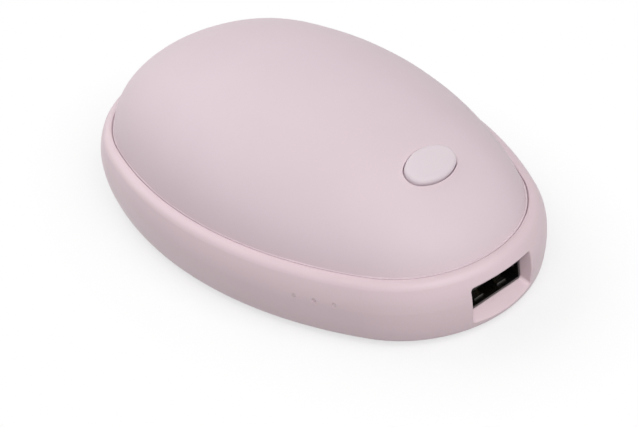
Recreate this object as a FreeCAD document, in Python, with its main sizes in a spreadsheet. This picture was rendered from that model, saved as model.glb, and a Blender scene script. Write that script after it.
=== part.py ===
"""Rechargeable hand warmer: a pebble-shaped housing with a USB outlet, a press button and three lamps."""
import FreeCAD
import Part
import Sketcher
import math
import os
import re
from FreeCAD import Placement, Rotation, Vector

doc = FreeCAD.newDocument("hand_warmer")

# Driving sizes in millimetres, degrees for the angles, plain shares where the name says so
SIZES = [
    # outline of the housing, four tangent arcs
    ("length", "106"),
    ("width", "66.3"),
    ("front_radius_share", "0.3906"),
    ("back_radius_share", "0.445"),
    # heights
    ("base_drop", "0.8"),
    ("belt_rise", "7.8"),
    ("shoulder_rise", "5.8"),
    ("crown_rise", "18.8"),
    # band section
    ("seam_inset", "3"),
    ("shoulder_radius", "2.2"),
    ("foot_inset", "2.85"),
    ("foot_radius", "2"),
    ("band_wall", "2.2"),
    ("rebate_depth", "0.8"),
    ("ledge_width", "2.2"),
    ("ledge_thickness", "1.5"),
    ("foot_thickness", "1.8"),
    ("foot_width", "2.4"),
    ("seam_edge", "0.2"),
    ("seam_gap", "0.2"),
    # dome
    ("dome_wall", "2"),
    ("dome_sink", "2.4"),
    ("dome_swell", "0.1"),
    ("crown_x_share", "0.023"),
    ("dome_power_share", "2.2"),
    ("dome_slope_share", "-0.35"),
    # button and its switch
    ("button_x_share", "0.3305"),
    ("button_length", "11.2"),
    ("button_width", "7.4"),
    ("button_end_radius", "2.9"),
    ("button_rise", "1"),
    ("button_edge", "0.8"),
    ("button_gap", "0.12"),
    ("button_mouth_edge", "0.25"),
    ("button_flange", "1.2"),
    ("button_flange_thickness", "1.1"),
    ("collar_wall", "1.4"),
    ("collar_depth", "4.2"),
    ("switch_side", "6"),
    ("switch_height", "3.4"),
    ("plunger_radius", "1.7"),
    ("plunger_height", "0.9"),
    ("switch_board_margin", "2.1"),
    ("switch_board_width", "10.4"),
    ("switch_boss_gap", "0.2"),
    ("switch_boss_radius", "2.1"),
    # USB outlet at the front
    ("port_inset", "3.55"),
    ("usb_width", "13.2"),
    ("usb_height", "5.8"),
    ("usb_depth", "14"),
    ("usb_sheet", "0.35"),
    ("usb_corner", "0.6"),
    ("usb_fit", "0.2"),
    ("tongue_width", "11.1"),
    ("tongue_thickness", "1.9"),
    ("tongue_setback", "1"),
    ("tongue_root", "4"),
    ("contact_width", "1.1"),
    ("contact_thickness", "0.25"),
    ("contact_pitch", "2.4"),
    ("port_flare_side", "1.5"),
    ("port_flare_top", "1.3"),
    ("port_flare_low", "2.9"),
    ("port_frame_wall", "1.2"),
    ("port_frame_depth", "0.8"),
    ("port_corner", "0.7"),
    ("port_edge", "0.3"),
    # lamps in the side wall
    ("lamp_x_share", "0.284"),
    ("lamp_z", "9.3"),
    ("lamp_pitch", "4.2"),
    ("lamp_radius", "0.42"),
    ("lamp_fit", "0.05"),
    ("lamp_side", "1.8"),
    ("lamp_height", "1.5"),
    ("lamp_tab", "14"),
    ("guide_length", "12"),
    ("guide_depth", "2.4"),
    ("guide_over", "0.8"),
    ("guide_gap", "0.35"),
    # base cover
    ("base_gap", "0.15"),
    ("base_thickness", "1.8"),
    ("base_edge", "1.1"),
    ("base_rib", "1.2"),
    ("base_rib_height", "1.4"),
    ("snap_reach", "0.55"),
    ("snap_height", "0.5"),
    ("snap_gap", "0.08"),
    # main board and its parts
    ("board_inset", "6"),
    ("board_z", "3.3"),
    ("board_thickness", "1.2"),
    ("chip_length", "5"),
    ("chip_width", "6"),
    ("chip_height", "1.5"),
    ("coil_side", "6.6"),
    ("coil_height", "3"),
    ("coil_gap", "0.5"),
    ("coil_side_gap", "1.1"),
    ("capacitor_radius", "1.6"),
    ("capacitor_height", "5.4"),
    ("capacitor_apart", "9.2"),
    # charging inlet in the far side wall
    ("inlet_x_share", "0.113"),
    ("inlet_width", "7.5"),
    ("inlet_height", "2.6"),
    ("inlet_depth", "5.6"),
    ("inlet_setback", "1"),
    ("inlet_tab_back", "2.7"),
    ("inlet_tab", "11"),
    ("inlet_tongue", "0.6"),
    ("inlet_sheet", "0.25"),
    ("inlet_chamfer", "0.8"),
    ("inlet_fit", "0.25"),
    # cells and tray
    ("cell_length_share", "0.4906"),
    ("cell_width_share", "0.5732"),
    ("cell_top_share", "0.6084"),
    ("cell_edge", "1.6"),
    ("cell_back_share", "0.0377"),
    ("cell_gap", "0.15"),
    ("tape_thickness", "0.5"),
    ("tape_margin", "4"),
    ("tray_wall", "1.2"),
    ("tray_floor", "1"),
    ("tray_rise", "1.4"),
    ("tray_height", "5"),
    ("tray_ear", "6"),
    ("tray_ear_reach", "1.8"),
    ("tray_ear_thickness", "1.6"),
    ("tab_length", "0.6"),
    ("tab_width", "4"),
    ("tab_thickness", "0.3"),
    ("guard_thickness", "1"),
    ("guard_height", "4"),
    ("guard_margin", "4"),
    # screws and their seats
    ("screw_radius", "1"),
    ("screw_fit", "0.05"),
    ("screw_clearance", "0.2"),
    ("screw_head_radius", "1.8"),
    ("screw_head_height", "1.4"),
    ("screw_bite", "1.9"),
    ("post_radius", "2.2"),
    ("front_screw_inset", "9"),
    ("front_screw_share", "0.64"),
    ("tray_screw_gap", "0.26"),
    ("tray_screw_back_share", "0.14"),
    ("tray_screw_front_share", "0.03"),
    ("lug_radius", "3.3"),
    ("lug_thickness", "2.6"),
    ("boss_radius", "2.3"),
    ("boss_bite", "5"),
    ("lug_inset", "7.2"),
    ("lug_front_share", "0.52"),
    ("lug_back_share", "0.8"),
    # warming layers
    ("foil_gap", "0.1"),
    ("foil_thickness", "0.3"),
    ("film_thickness", "0.25"),
    ("film_length_share", "0.6038"),
    ("film_width_share", "0.5732"),
    ("film_end_share", "0.2262"),
    ("film_back_share", "0.0566"),
    ("floor_film_length_share", "0.566"),
    ("floor_film_width_share", "0.543"),
    # leads
    ("lead_radius", "0.55"),
    ("lead_pitch", "3"),
    ("lead_back", "4.8"),
    ("bead_radius", "1.2"),
]

# Sizes worked out from the driving ones
DERIVED = [
    ("half_length", "=length / 2"),
    ("half_width", "=width / 2"),
    ("front_radius", "=width * front_radius_share"),
    ("back_radius", "=width * back_radius_share"),
    ("egg_span", "=length - front_radius - back_radius"),
    ("egg_bulge", "=back_radius - front_radius"),
    ("egg_front_room", "=half_width - front_radius"),
    ("egg_square", "=egg_span ^ 2 + (half_width - back_radius) * egg_bulge"),
    ("egg_root", "=sqrt(egg_span ^ 2 - egg_bulge / egg_front_room * egg_square)"),
    ("side_run", "=egg_square / (egg_span + egg_root)"),
    ("side_mid", "=half_length - front_radius - side_run"),
    ("side_radius", "=(side_run ^ 2 + half_width ^ 2 - front_radius ^ 2) / (2 * egg_front_room)"),
    ("side_drop", "=side_radius - half_width"),
    ("belt_z", "=base_drop + belt_rise"),
    ("seam_z", "=belt_z + shoulder_rise"),
    ("top_z", "=seam_z + crown_rise"),
    ("ledge_z", "=seam_z - rebate_depth"),
    ("rebate_inset", "=seam_inset + seam_edge"),
    ("ledge_inset", "=rebate_inset + ledge_width"),
    ("foot_inner", "=foot_inset + foot_width"),
    ("board_top", "=board_z + board_thickness"),
    ("dome_z", "=seam_z - dome_sink"),
    ("dome_height", "=crown_rise + dome_sink"),
    ("dome_inset", "=rebate_inset + seam_gap - dome_swell"),
    ("port_x", "=half_length - port_inset"),
    ("usb_z", "=board_top + usb_height / 2"),
    ("port_block_x", "=port_x - port_frame_depth"),
    ("crown_x", "=length * crown_x_share"),
    ("button_x", "=length * button_x_share"),
    ("crown_reach", "=half_length - dome_inset - crown_x"),
    ("button_part", "=(button_x - crown_x) / crown_reach"),
    ("button_power", "=dome_power_share + dome_slope_share * button_part"),
    ("button_fill", "=button_part ^ button_power"),
    ("button_root", "=sqrt(1 - button_fill)"),
    ("button_z", "=dome_z + dome_height * button_root"),
    ("button_pull", "=dome_slope_share * log(button_part) + button_power / button_part"),
    ("button_slope", "=dome_height * button_fill * button_pull / (2 * button_root * crown_reach)"),
    ("button_lean", "=atan(button_slope) / 1 deg"),
    ("lean_sin", "=sin(button_lean)"),
    ("lean_cos", "=cos(button_lean)"),
    ("flange_top", "=collar_depth + snap_gap"),
    ("flange_low", "=flange_top + button_flange_thickness"),
    ("switch_top", "=flange_low + plunger_height"),
    ("switch_low", "=switch_top + switch_height"),
    ("switch_boss_pitch", "=button_length + 2 * (button_flange + switch_boss_gap + switch_boss_radius)"),
    ("switch_board_length", "=switch_boss_pitch + 2 * switch_board_margin"),
    ("lug_z", "=ledge_z - lug_thickness"),
    ("tray_z", "=board_top + tray_rise"),
    ("cell_z", "=tray_z + tray_floor"),
    ("cell_length", "=length * cell_length_share"),
    ("cell_width", "=width * cell_width_share"),
    ("cell_height", "=(top_z * cell_top_share - cell_z - tape_thickness) / 2"),
    ("cell_x", "=-length * cell_back_share"),
    ("cell_front", "=cell_x + cell_length / 2"),
    ("cell_back", "=cell_x - cell_length / 2"),
    ("lamp_x", "=length * lamp_x_share"),
    ("lamp_ahead", "=lamp_x - side_mid"),
    ("lamp_y", "=sqrt(side_radius ^ 2 - lamp_ahead ^ 2) - side_drop"),
    ("lamp_turn", "=asin(lamp_ahead / side_radius) / 1 deg"),
    ("lamp_sin", "=sin(lamp_turn)"),
    ("lamp_cos", "=cos(lamp_turn)"),
    ("guide_low", "=board_top + lamp_height"),
    ("lamp_depth", "=band_wall + guide_gap + guide_depth / 2"),
    ("inlet_x", "=length * inlet_x_share"),
    ("inlet_wall", "=sqrt(side_radius ^ 2 - (inlet_x - side_mid) ^ 2) - side_drop"),
    ("inlet_y", "=inlet_wall - inlet_setback"),
    ("guard_x", "=cell_front + tab_length"),
    ("guard_length", "=cell_width - 2 * guard_margin"),
    ("capacitor_x", "=(port_x - usb_depth + cell_front + cell_gap + tray_wall) / 2"),
    ("base_inset", "=foot_inner + base_gap"),
    ("foot_top", "=base_drop + foot_thickness"),
    ("ledge_low", "=ledge_z - ledge_thickness"),
    ("port_wide", "=usb_width + 2 * usb_fit"),
    ("port_tall", "=usb_height + 2 * usb_fit"),
    ("port_half", "=port_wide / 2 + port_frame_wall"),
    ("tray_side", "=cell_width / 2 + cell_gap + tray_wall"),
    ("tray_screw_y", "=tray_side + screw_head_radius + tray_screw_gap"),
    ("tray_screw_back", "=-length * tray_screw_back_share"),
    ("tray_screw_front", "=length * tray_screw_front_share"),
    ("front_screw_run", "=front_radius - front_screw_inset"),
    ("front_screw_x", "=half_length - front_radius + front_screw_run * front_screw_share"),
    ("front_screw_y", "=front_screw_run * sqrt(1 - front_screw_share ^ 2)"),
    ("coil_x", "=front_screw_x - screw_head_radius - coil_side / 2 - coil_gap"),
    ("coil_y", "=usb_width / 2 + coil_side / 2 + coil_side_gap"),
    ("lug_front_run", "=front_radius - lug_inset"),
    ("lug_front_x", "=half_length - front_radius + lug_front_run * lug_front_share"),
    ("lug_front_y", "=lug_front_run * sqrt(1 - lug_front_share ^ 2)"),
    ("lug_back_run", "=back_radius - lug_inset"),
    ("lug_back_x", "=back_radius - half_length - lug_back_run * lug_back_share"),
    ("lug_back_y", "=lug_back_run * sqrt(1 - lug_back_share ^ 2)"),
    ("wall_lean", "=seam_inset - shoulder_radius"),
    ("wall_drop", "=shoulder_rise - shoulder_radius"),
    ("wall_bend", "=(seam_inset ^ 2 + wall_drop ^ 2 - shoulder_radius ^ 2) / (2 * wall_lean)"),
    ("foot_lean", "=foot_inset - foot_radius"),
    ("foot_fall", "=belt_rise - foot_radius"),
    ("foot_bend", "=(foot_inset ^ 2 + foot_fall ^ 2 - foot_radius ^ 2) / (2 * foot_lean)"),
    ("shoulder_step", "=shoulder_radius / (wall_bend - shoulder_radius)"),
    ("shoulder_x", "=half_length - seam_inset + shoulder_step * (wall_bend - seam_inset)"),
    ("shoulder_z", "=belt_z + wall_drop + shoulder_step * wall_drop"),
    ("foot_step", "=foot_radius / (foot_bend - foot_radius)"),
    ("foot_x", "=half_length - foot_inset + foot_step * (foot_bend - foot_inset)"),
    ("foot_z", "=belt_z - foot_fall - foot_step * foot_fall"),
    ("foil_depth", "=dome_wall + foil_gap"),
    ("film_depth", "=foil_depth + foil_thickness + foil_gap / 2"),
    ("film_low", "=film_depth + film_thickness"),
    ("film_length", "=length * film_length_share"),
    ("film_width", "=width * film_width_share"),
    ("film_end_radius", "=width * film_end_share"),
    ("film_back", "=length * film_back_share"),
    ("floor_film_length", "=length * floor_film_length_share"),
    ("floor_film_width", "=width * floor_film_width_share"),
    ("lead_x", "=cell_back - lead_back"),
    ("sensor_part", "=(crown_x - lead_x) / (half_length - dome_inset + crown_x)"),
    ("sensor_fill", "=sensor_part ^ (dome_power_share - dome_slope_share * sensor_part)"),
    ("sensor_top", "=dome_z + (dome_height - film_low) * sqrt(1 - sensor_fill)"),
]

# How finely the free-form dome is drawn, and how near two levels have to be to count as one
DOME_GRID = 31
DOME_REACH = 1.12
OUTLINE_STEPS = 180
OUTLINE_WAVES = 14
TOUCH = 1e-4

sheet = doc.addObject("Spreadsheet::Sheet", "Sizes")
NAMES = set()
for row, (alias, text) in enumerate(SIZES + DERIVED, start=1):
    sheet.set("A%d" % row, alias)
    sheet.set("B%d" % row, text)
    sheet.setAlias("B%d" % row, alias)
    NAMES.add(alias)
doc.recompute()


def num(expr):
    """Value of an expression over the sheet's names."""
    return float(sheet.evalExpression(expr))


def qualify(expr):
    """The same expression as another object has to write it."""
    def sheet_name(word):
        return "Sizes." + word.group() if word.group() in NAMES else word.group()

    return re.sub(r"[A-Za-z_]\w*", sheet_name, expr)


def bind(item, prop, expr):
    """Ties a property to the sheet."""
    item.setExpression(prop, qualify(expr))


def body(node):
    """A new PartDesign body that carries the node's name."""
    item = doc.addObject("PartDesign::Body", node)
    item.Label = node
    return item


def sketch(owner, plane="XY_Plane", offset="0", turn=0):
    """A sketch on one of the body's own origin planes, moved along the plane's normal and turned on it."""
    item = owner.newObject("Sketcher::SketchObject", owner.Name + "_sketch")
    support = [face for face in owner.Origin.OriginFeatures if face.Role == plane][0]
    item.AttachmentSupport = [(support, "")]
    item.MapMode = "FlatFace"
    item.AttachmentOffset = Placement(Vector(), Rotation(Vector(0, 0, 1), turn))
    bind(item, "AttachmentOffset.Base.z", offset)
    return item


def fix(item, constraint, expr):
    """Adds a sized constraint and ties it to the sheet."""
    index = item.addConstraint(Sketcher.Constraint(*constraint, num(expr)))
    bind(item, "Constraints[%d]" % index, expr)


def pin(item, geometry, point, x, y):
    """Ties a point's two coordinates to the sheet."""
    fix(item, ("DistanceX", -1, 1, geometry, point), x)
    fix(item, ("DistanceY", -1, 1, geometry, point), y)


def circle(item, x, y, radius):
    """A circle about (x, y)."""
    shape = Part.Circle(Vector(num(x), num(y), 0), Vector(0, 0, 1), num(radius))
    index = item.addGeometry(shape, False)
    pin(item, index, 3, x, y)
    fix(item, ("Radius", index), radius)


def outline(item, corners):
    """A closed outline of (x, y) corners; a third entry bends the side that leaves the corner outward."""
    spots = [Vector(num(c[0]), num(c[1]), 0) for c in corners]
    first = item.GeometryCount
    for i, corner in enumerate(corners):
        start = spots[i]
        end = spots[(i + 1) % len(spots)]
        if len(corner) < 3:
            item.addGeometry(Part.LineSegment(start, end), False)
            continue
        radius = num(corner[2])
        chord = end - start
        middle = (start + end) * 0.5
        side = Vector(-chord.y, chord.x, 0).normalize()
        centre = middle + side * math.sqrt(radius ** 2 - (chord.Length / 2) ** 2)
        opening = math.atan2(start.y - centre.y, start.x - centre.x)
        closing = math.atan2(end.y - centre.y, end.x - centre.x)
        ring = Part.Circle(centre, Vector(0, 0, 1), radius)
        item.addGeometry(Part.ArcOfCircle(ring, opening, closing), False)
    for i, corner in enumerate(corners):
        here = first + i
        after = first + (i + 1) % len(corners)
        item.addConstraint(Sketcher.Constraint("Coincident", here, 2, after, 1))
        if len(corner) == 3:
            fix(item, ("Radius", here), corner[2])
    for i, corner in enumerate(corners):
        pin(item, first + i, 1, corner[0], corner[1])


def rectangle(item, x, y, wide, tall):
    """A rectangle centred on (x, y)."""
    left = "%s - (%s) / 2" % (x, wide)
    right = "%s + (%s) / 2" % (x, wide)
    low = "%s - (%s) / 2" % (y, tall)
    high = "%s + (%s) / 2" % (y, tall)
    outline(item, [(left, low), (right, low), (right, high), (left, high)])


def rounded(item, x, y, wide, tall, corner):
    """A rectangle centred on (x, y) with round corners."""
    left = "%s - (%s) / 2" % (x, wide)
    right = "%s + (%s) / 2" % (x, wide)
    low = "%s - (%s) / 2" % (y, tall)
    high = "%s + (%s) / 2" % (y, tall)
    inner = " + (%s)" % corner
    outer = " - (%s)" % corner
    outline(item, [
        (left + inner, low),
        (right + outer, low, corner),
        (right, low + inner),
        (right, high + outer, corner),
        (right + outer, high),
        (left + inner, high, corner),
        (left, high + outer),
        (left, low + inner, corner),
    ])


def egg_arcs(half, side, front, back):
    """Radius and centre of the side arcs that join a front and a back arc smoothly."""
    span = 2 * half - front - back
    square = span ** 2 + (side - back) * (back - front)
    run = square / (span + math.sqrt(span ** 2 - (back - front) / (side - front) * square))
    radius = (run ** 2 + side ** 2 - front ** 2) / (2 * (side - front))
    return radius, half - front - run


def oval(item, long, wide, front, back):
    """A closed outline of four tangent arcs about the sketch's origin, its front on +X."""
    half = num(long) / 2
    side = num(wide) / 2
    fore = num(front)
    aft = num(back)
    radius, mid = egg_arcs(half, side, fore, aft)
    near = math.atan2(radius - side, half - fore - mid)
    far = math.atan2(radius - side, aft - half - mid)
    turn = 2 * math.pi
    first = item.GeometryCount
    arcs = [
        (half - fore, 0, fore, -near, near),
        (mid, side - radius, radius, near, far),
        (aft - half, 0, aft, far, turn - far),
        (mid, radius - side, radius, turn - far, turn - near),
    ]
    for x, y, bend, opening, closing in arcs:
        ring = Part.Circle(Vector(x, y, 0), Vector(0, 0, 1), bend)
        item.addGeometry(Part.ArcOfCircle(ring, opening, closing), False)
    crest = item.addGeometry(Part.Point(Vector(mid, side, 0)), True)
    for i in range(4):
        item.addConstraint(Sketcher.Constraint("Tangent", first + i, 2, first + (i + 1) % 4, 1))
    item.addConstraint(Sketcher.Constraint("PointOnObject", first, 3, -1))
    item.addConstraint(Sketcher.Constraint("PointOnObject", first + 2, 3, -1))
    item.addConstraint(Sketcher.Constraint("Equal", first + 1, first + 3))
    item.addConstraint(Sketcher.Constraint("PointOnObject", crest, 1, first + 1))
    item.addConstraint(Sketcher.Constraint("Vertical", crest, 1, first + 1, 3))
    fix(item, ("Radius", first), front)
    fix(item, ("Radius", first + 2), back)
    fix(item, ("DistanceX", -1, 1, first, 3), "(%s) / 2 - (%s)" % (long, front))
    fix(item, ("DistanceX", first + 2, 3, -1, 1), "(%s) / 2 - (%s)" % (long, back))
    fix(item, ("DistanceY", -1, 1, crest, 1), "(%s) / 2" % wide)


def egg(item, inset):
    """The housing's outline, moved inward all round."""
    oval(
        item,
        "length - 2 * (%s)" % inset,
        "width - 2 * (%s)" % inset,
        "front_radius - (%s)" % inset,
        "back_radius - (%s)" % inset,
    )


def pad(owner, profile, size, back=False):
    """Pads a sketch along its normal, or against it."""
    item = owner.newObject("PartDesign::Pad", owner.Name + "_pad")
    item.Profile = profile
    bind(item, "Length", size)
    item.Reversed = back
    doc.recompute()
    return item


def pocket(owner, profile, size, forward=False, both=False):
    """Cuts a sketch against its normal, along it, or both ways; the cut has to take something away."""
    before = owner.Shape.Volume
    item = owner.newObject("PartDesign::Pocket", owner.Name + "_pocket")
    item.Profile = profile
    bind(item, "Length", size)
    item.Reversed = forward
    item.Midplane = both
    doc.recompute()
    if owner.Shape.Volume >= before:
        raise RuntimeError(owner.Label + ": a pocket took nothing away")
    return item


def fillet(owner, base, radius, wanted):
    """Rounds the edges of a feature that a test picks."""
    picked = ["Edge%d" % n for n, edge in enumerate(base.Shape.Edges, start=1) if wanted(edge)]
    if not picked:
        raise RuntimeError(owner.Label + ": no edge to round")
    item = owner.newObject("PartDesign::Fillet", owner.Name + "_fillet")
    item.Base = (base, picked)
    bind(item, "Radius", radius)
    doc.recompute()
    return item


def level(height):
    """Picks the edges that lie flat at a height."""
    z = num(height)
    return lambda edge: abs(edge.BoundBox.ZMin - z) < TOUCH and abs(edge.BoundBox.ZMax - z) < TOUCH


def upright(edge):
    """Picks straight upright edges."""
    return edge.BoundBox.XLength < TOUCH and edge.BoundBox.YLength < TOUCH


def lean(owner, axis, angle):
    """Turns a body about an axis by an angle from the sheet."""
    owner.Placement = Placement(owner.Placement.Base, Rotation(axis, num(angle)))
    bind(owner, "Placement.Rotation.Angle", angle)


def place(item, x, y, z):
    """Ties an object's position to the sheet."""
    bind(item, "Placement.Base.x", x)
    bind(item, "Placement.Base.y", y)
    bind(item, "Placement.Base.z", z)


def block(node, x, y, z, wide, deep, tall, rounding=None):
    """A block standing on z and centred on (x, y), its upright edges rounded if asked."""
    owner = body(node)
    profile = sketch(owner, offset=z)
    rectangle(profile, x, y, wide, deep)
    base = pad(owner, profile, tall)
    if rounding:
        fillet(owner, base, rounding, upright)
    return owner


def rods(node, spots, parts):
    """One node of equal round pieces; parts are (radius, bottom, height) stacked on each (x, y) spot."""
    pieces = []
    for x, y in spots:
        for radius, bottom, height in parts:
            item = doc.addObject("Part::Cylinder", node + "_rod")
            bind(item, "Radius", radius)
            bind(item, "Height", height)
            place(item, x, y, bottom)
            pieces.append(item)
    if len(pieces) == 1:
        whole = pieces[0]
    else:
        whole = doc.addObject("Part::MultiFuse", node)
        whole.Shapes = pieces
    whole.Label = node
    doc.recompute()
    return whole


def mirrored(x, y):
    """The same spot on both sides of the middle."""
    return [(x, y), (x, "-(%s)" % y)]


def dome_solid(depth, floor):
    """Solid under the dome's surface taken a depth below its outside, cut off flat at the floor."""
    inset = num("dome_inset") + depth
    half = num("half_length") - inset
    side = num("half_width") - inset
    fore = num("front_radius") - inset
    aft = num("back_radius") - inset
    radius, mid = egg_arcs(half, side, fore, aft)
    near = math.atan2(radius - side, half - fore - mid)
    far = math.atan2(radius - side, aft - half - mid)
    pole = num("crown_x")
    base = num("dome_z")
    height = num("dome_height") - depth
    power = num("dome_power_share")
    slope = num("dome_slope_share")
    fore_join = math.atan2(fore * math.sin(near), half - fore + fore * math.cos(near) - pole)
    aft_join = math.atan2(aft * math.sin(far), aft - half + aft * math.cos(far) - pole)
    # a short cosine series of the outline's reach keeps the surface free of the arcs' joints
    reaches = []
    for step in range(OUTLINE_STEPS):
        bend = math.pi * (step + 0.5) / OUTLINE_STEPS
        if bend <= fore_join:
            centre_x, centre_y, arc = half - fore, 0, fore
        elif bend >= aft_join:
            centre_x, centre_y, arc = aft - half, 0, aft
        else:
            centre_x, centre_y, arc = mid, side - radius, radius
        along = math.cos(bend) * (centre_x - pole) + math.sin(bend) * centre_y
        gone = (centre_x - pole) ** 2 + centre_y ** 2 - arc ** 2
        reaches.append(along + math.sqrt(along ** 2 - gone))
    waves = []
    for order in range(OUTLINE_WAVES):
        turns = [math.cos(order * math.pi * (step + 0.5) / OUTLINE_STEPS) for step in range(OUTLINE_STEPS)]
        total = sum(reach * turn for reach, turn in zip(reaches, turns))
        waves.append(total * (2 if order else 1) / OUTLINE_STEPS)
    rows = []
    for i in range(DOME_GRID):
        row = []
        for j in range(DOME_GRID):
            u = DOME_REACH * (2 * i / (DOME_GRID - 1) - 1)
            v = DOME_REACH * (2 * j / (DOME_GRID - 1) - 1)
            angle = math.atan2(v, u)
            polar = math.hypot(u, v) * math.pi / 2
            reach = sum(wave * math.cos(order * angle) for order, wave in enumerate(waves))
            part = math.sin(polar)
            fill = part ** (power + slope * part * math.cos(angle))
            rise = math.copysign(math.sqrt(max(0, 1 - fill)), math.cos(polar))
            x = pole + part * reach * math.cos(angle)
            y = part * reach * math.sin(angle)
            row.append(Vector(x, y, base + height * rise))
        rows.append(row)
    surface = Part.BSplineSurface()
    surface.interpolate(rows)
    reach = 4 * half
    slab = Part.makeBox(reach, reach, reach, Vector(-reach / 2, -reach / 2, floor))
    pieces = slab.generalFuse([surface.toShape()])[0].Solids
    return min(pieces, key=lambda piece: piece.BoundBox.XLength)


def dome(node, depth, floor):
    """A free-form solid under the dome's surface."""
    item = doc.addObject("Part::Feature", node)
    item.Shape = dome_solid(num(depth), num(floor))
    return item


def joined(kind, node, pieces):
    """A boolean of several objects."""
    item = doc.addObject("Part::" + kind, node)
    item.Shapes = pieces
    item.Label = node
    doc.recompute()
    return item


def cut(node, base, tool):
    """One object less another."""
    item = doc.addObject("Part::Cut", node)
    item.Base = base
    item.Tool = tool
    item.Label = node
    doc.recompute()
    return item


def tilted(item, depth, along="0"):
    """Stands an object on the button's axis, a depth below the dome's surface there."""
    item.Placement = Placement(Vector(), Rotation(Vector(0, 1, 0), num("button_lean")))
    bind(item, "Placement.Rotation.Angle", "button_lean")
    place(item, "button_x - (%s) * lean_sin" % depth, along, "button_z - (%s) * lean_cos" % depth)


def softened(node, base, radius):
    """An object with the edges near the dome's surface at the button rounded."""
    edges = []
    for number, edge in enumerate(base.Shape.Edges, start=1):
        middle = edge.CenterOfMass - Vector(num("button_x"), 0, num("button_z"))
        height = middle.x * num("lean_sin") + middle.z * num("lean_cos")
        flat = edge.valueAt(edge.FirstParameter) - edge.valueAt(edge.LastParameter)
        rise = flat.x * num("lean_sin") + flat.z * num("lean_cos")
        if height > -num("button_rise") and abs(rise) < num("button_rise"):
            edges.append((number, num(radius), num(radius)))
    item = doc.addObject("Part::Fillet", node)
    item.Base = base
    item.Edges = edges
    item.Label = node
    doc.recompute()
    return item


def rod(node, radius, height):
    """A plain cylinder."""
    item = doc.addObject("Part::Cylinder", node)
    bind(item, "Radius", radius)
    bind(item, "Height", height)
    return item


nodes = []
LUGS = mirrored("lug_front_x", "lug_front_y") + mirrored("lug_back_x", "lug_back_y")
TRAY_SCREWS = mirrored("tray_screw_front", "tray_screw_y") + mirrored("tray_screw_back", "tray_screw_y")
FRONT_SCREWS = mirrored("front_screw_x", "front_screw_y")

# Band: one section swept round the outline, then the port, the lugs, the lamp holes and the inlet window
band = body("middle_band")
path = sketch(band)
egg(path, "0")
section = sketch(band, "XZ_Plane")
outline(section, [
    ("half_length - foot_inner", "base_drop"),
    ("half_length - foot_inset", "base_drop", "foot_radius"),
    ("foot_x", "foot_z", "foot_bend"),
    ("half_length", "belt_z", "wall_bend"),
    ("shoulder_x", "shoulder_z", "shoulder_radius"),
    ("half_length - seam_inset", "seam_z", "seam_edge"),
    ("half_length - rebate_inset", "seam_z - seam_edge"),
    ("half_length - rebate_inset", "ledge_z"),
    ("half_length - ledge_inset", "ledge_z"),
    ("half_length - ledge_inset", "ledge_low"),
    ("half_length - band_wall", "ledge_low"),
    ("half_length - band_wall", "foot_top"),
    ("half_length - foot_inner", "foot_top"),
])
doc.recompute()
sweep = band.newObject("PartDesign::AdditivePipe", "band_sweep")
sweep.Profile = section
sweep.Spine = (path, ["Edge%d" % n for n in range(1, len(path.Shape.Edges) + 1)])
doc.recompute()
frame_block = sketch(band, offset="foot_top")
block_bend = "front_radius - band_wall / 2"
block_front = "half_length - front_radius + sqrt((%s) ^ 2 - port_half ^ 2)" % block_bend
outline(frame_block, [
    ("port_block_x", "-port_half"),
    (block_front, "-port_half", block_bend),
    (block_front, "port_half"),
    ("port_block_x", "port_half"),
])
pad(band, frame_block, "ledge_low - foot_top")
window = sketch(band, "YZ_Plane", "port_x")
rounded(window, "0", "usb_z", "port_wide", "port_tall", "port_corner")
pocket(band, window, "2 * port_frame_depth")
throat = sketch(band, "YZ_Plane", "port_x")
rounded(throat, "0", "usb_z", "port_wide", "port_tall", "port_corner")
mouth = sketch(band, "YZ_Plane", "half_length + port_frame_depth")
mouth_wide = "port_wide + 2 * port_flare_side"
mouth_tall = "port_tall + port_flare_top + port_flare_low"
mouth_z = "usb_z + (port_flare_top - port_flare_low) / 2"
rounded(mouth, "0", mouth_z, mouth_wide, mouth_tall, "port_corner")
doc.recompute()
flare = band.newObject("PartDesign::SubtractiveLoft", "port_flare")
flare.Profile = throat
flare.Sections = [mouth]
flare.Ruled = True
doc.recompute()
mouth_start = num("port_x") + num("port_frame_depth")
fillet(band, flare, "port_edge", lambda edge: edge.BoundBox.XMin > mouth_start)
lug = sketch(band, offset="lug_z")
for x, y in LUGS:
    circle(lug, x, y, "lug_radius")
pad(band, lug, "lug_thickness")
lug_hole = sketch(band, offset="ledge_z")
for x, y in LUGS:
    circle(lug_hole, x, y, "screw_radius + screw_clearance")
pocket(band, lug_hole, "lug_thickness")
lamp_holes = sketch(band, "XZ_Plane")
lamp_holes.AttachmentOffset = Placement(Vector(), Rotation(Vector(0, 1, 0), num("lamp_turn")))
bind(lamp_holes, "AttachmentOffset.Rotation.Angle", "lamp_turn")
bind(lamp_holes, "AttachmentOffset.Base.x", "lamp_x")
bind(lamp_holes, "AttachmentOffset.Base.y", "lamp_z")
bind(lamp_holes, "AttachmentOffset.Base.z", "lamp_y")
for along in ("-lamp_pitch", "0", "lamp_pitch"):
    circle(lamp_holes, along, "0", "lamp_radius + lamp_fit")
pocket(band, lamp_holes, "3 * band_wall", both=True)
inlet_window = sketch(band, "XZ_Plane")
inlet_wide = "inlet_width + 2 * inlet_fit"
inlet_tall = "inlet_height + 2 * inlet_fit"
rounded(inlet_window, "inlet_x", "board_top + inlet_height / 2", inlet_wide, inlet_tall, "inlet_chamfer")
pocket(band, inlet_window, "half_width")
nodes.append(band)

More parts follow.
